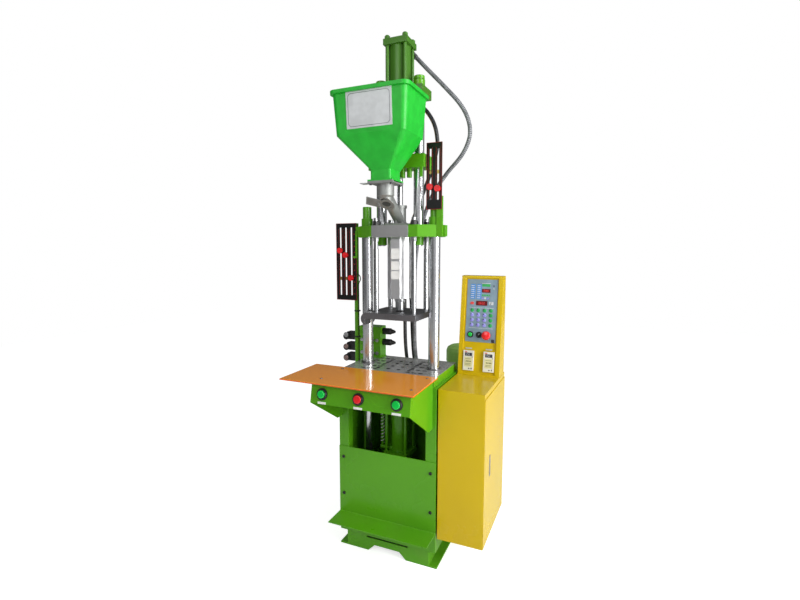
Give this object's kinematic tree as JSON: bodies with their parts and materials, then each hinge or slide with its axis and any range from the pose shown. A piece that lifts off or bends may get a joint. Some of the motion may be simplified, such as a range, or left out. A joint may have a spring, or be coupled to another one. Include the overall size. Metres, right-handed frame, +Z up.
{
  "type": "vertical injection moulding machine",
  "caption": "Vertical plunger injection moulding machine: welded base with steel bed, two-column clamping head, feed hopper and control cabinet.",
  "frame": {"origin": "centre of the machine's outline on the floor", "axes": "+Z up, -Y towards the operator's side with the table and push buttons, +X towards the control cabinet"},
  "size_m": [0.801, 0.85, 2.282],
  "materials": {
    "green_paint": "gloss enamel",
    "yellow_paint": "gloss enamel",
    "orange_paint": "gloss enamel",
    "ground_steel": "ground, lightly oiled",
    "dark_steel": "machined, dark",
    "hard_chrome": "polished hard chrome",
    "cast_metal": "as cast, satin",
    "sheet_steel": "polished sheet",
    "hopper_green": "gloss, moulded",
    "black_plastic": "satin",
    "grey_plastic": "satin membrane",
    "white_plastic": "satin",
    "red_plastic": "gloss",
    "button_green": "gloss, translucent",
    "black_metal": "satin black",
    "hose_rubber": "smooth",
    "cable_jacket": "smooth"
  },
  "bodies": {
    "base": {"base_frame": "green_paint", "front_cover": "green_paint", "bed_plate": "ground_steel", "column_bushes": "dark_steel", "work_table": "orange_paint", "button_bracket": "green_paint", "button_bezels": "black_plastic", "clamp_cylinder": "green_paint", "oil_tank": "green_paint", "pump_motor": "green_paint", "control_cabinet": "yellow_paint", "console_housing": "yellow_paint", "control_panel": "grey_plastic", "temperature_controllers": "white_plastic", "console_bezels": "black_plastic", "manifold": "green_paint", "solenoid_valves": "black_plastic", "pressure_gauge": "black_metal", "left_scale": "black_metal", "left_scale_post": "green_paint", "hose_upper": "hose_rubber", "hose_lower": "hose_rubber", "heater_cable": "cable_jacket"},
    "start_left": {"start_button_left": "button_green"},
    "stop": {"stop_button": "red_plastic"},
    "start_right": {"start_button_right": "button_green"},
    "door": {"cabinet_door": "yellow_paint", "door_handle": "sheet_steel"},
    "lever": {"door_lever": "sheet_steel"},
    "console_key": {"console_button": "button_green"},
    "selector": {"selector_knob": "black_plastic"},
    "e_stop": {"emergency_stop": "red_plastic"},
    "left_knob_one": {"left_knob_a": "red_plastic"},
    "left_knob_two": {"left_knob_b": "red_plastic"},
    "left_knob_three": {"left_knob_c": "red_plastic"},
    "head": {"columns": "hard_chrome", "rod_nuts": "green_paint", "top_plate": "green_paint", "left_striker": "green_paint", "suspension_rods": "ground_steel", "upper_platen": "dark_steel", "injection_rods": "hard_chrome", "cylinder_plate": "green_paint", "injection_cylinder": "green_paint", "lower_crosshead": "dark_steel", "clamp_rod": "hard_chrome", "feed_casting": "cast_metal", "barrel": "ground_steel", "heater_bands": "sheet_steel", "barrel_guard": "sheet_steel", "hopper": "hopper_green", "hose_fittings": "ground_steel", "right_scale": "black_metal", "right_scale_post": "green_paint"},
    "ram": {"ram_crosshead": "green_paint", "ram_rods": "hard_chrome"},
    "gate": {"hopper_gate": "sheet_steel"},
    "lid": {"drain_lid": "cast_metal"},
    "right_knob_one": {"right_knob_a": "red_plastic"},
    "right_knob_two": {"right_knob_b": "red_plastic"}
  },
  "joints": [
    {"name": "clamp_stroke", "type": "slide", "parent": "base", "child": "head", "axis": [0, 0, 1], "range_m": [-0.12, 0.05], "deforming": ["hose_upper", "hose_lower", "heater_cable"]},
    {"name": "ram_stroke", "type": "slide", "parent": "head", "child": "ram", "axis": [0, 0, 1], "range_m": [-0.075, 0.075]},
    {"name": "start_left_press", "type": "slide", "parent": "base", "child": "start_left", "axis": [0, 0.9806, -0.1961], "range_m": [0, 0.004], "stiffness_N_per_m": 600, "springref_m": -0.004},
    {"name": "stop_press", "type": "slide", "parent": "base", "child": "stop", "axis": [0, 0.9806, -0.1961], "range_m": [0, 0.004], "stiffness_N_per_m": 600, "springref_m": -0.004},
    {"name": "start_right_press", "type": "slide", "parent": "base", "child": "start_right", "axis": [0, 0.9806, -0.1961], "range_m": [0, 0.004], "stiffness_N_per_m": 600, "springref_m": -0.004},
    {"name": "cabinet_door_hinge", "type": "hinge", "parent": "base", "child": "door", "pos_m": [0.398, 0.228, 0.47], "axis": [0, 0, 1], "range_deg": [0, 110]},
    {"name": "door_lever_swing", "type": "hinge", "parent": "door", "child": "lever", "pos_m": [0.3975, -0.065, 0.435], "axis": [0, 1, 0], "range_deg": [0, 35]},
    {"name": "console_key_press", "type": "slide", "parent": "base", "child": "console_key", "axis": [0, 0.9919, -0.1267], "range_m": [0, 0.004], "stiffness_N_per_m": 400, "springref_m": -0.004},
    {"name": "selector_turn", "type": "hinge", "parent": "base", "child": "selector", "pos_m": [0.2935, 0.1307, 0.98849], "axis": [0, 0.9919, -0.1267], "range_deg": [0, 90]},
    {"name": "e_stop_press", "type": "slide", "parent": "base", "child": "e_stop", "axis": [0, 0.9919, -0.1267], "range_m": [0, 0.005]},
    {"name": "left_knob_one_slide", "type": "slide", "parent": "base", "child": "left_knob_one", "axis": [0, 0, 1], "range_m": [-0.2, 0.1]},
    {"name": "left_knob_two_slide", "type": "slide", "parent": "base", "child": "left_knob_two", "axis": [0, 0, 1], "range_m": [-0.18, 0.12]},
    {"name": "left_knob_three_slide", "type": "slide", "parent": "base", "child": "left_knob_three", "axis": [0, 0, 1], "range_m": [-0.075, 0.22]},
    {"name": "right_knob_one_slide", "type": "slide", "parent": "head", "child": "right_knob_one", "axis": [0, 0, 1], "range_m": [-0.045, 0.15]},
    {"name": "right_knob_two_slide", "type": "slide", "parent": "head", "child": "right_knob_two", "axis": [0, 0, 1], "range_m": [-0.04, 0.155]},
    {"name": "hopper_gate_slide", "type": "slide", "parent": "head", "child": "gate", "axis": [-1, 0, 0], "range_m": [0, 0.085]},
    {"name": "drain_lid_swing", "type": "hinge", "parent": "head", "child": "lid", "pos_m": [-0.07131, -0.15415, 1.57126], "axis": [0, 0.5736, 0.8192], "range_deg": [0, 180]}
  ]
}
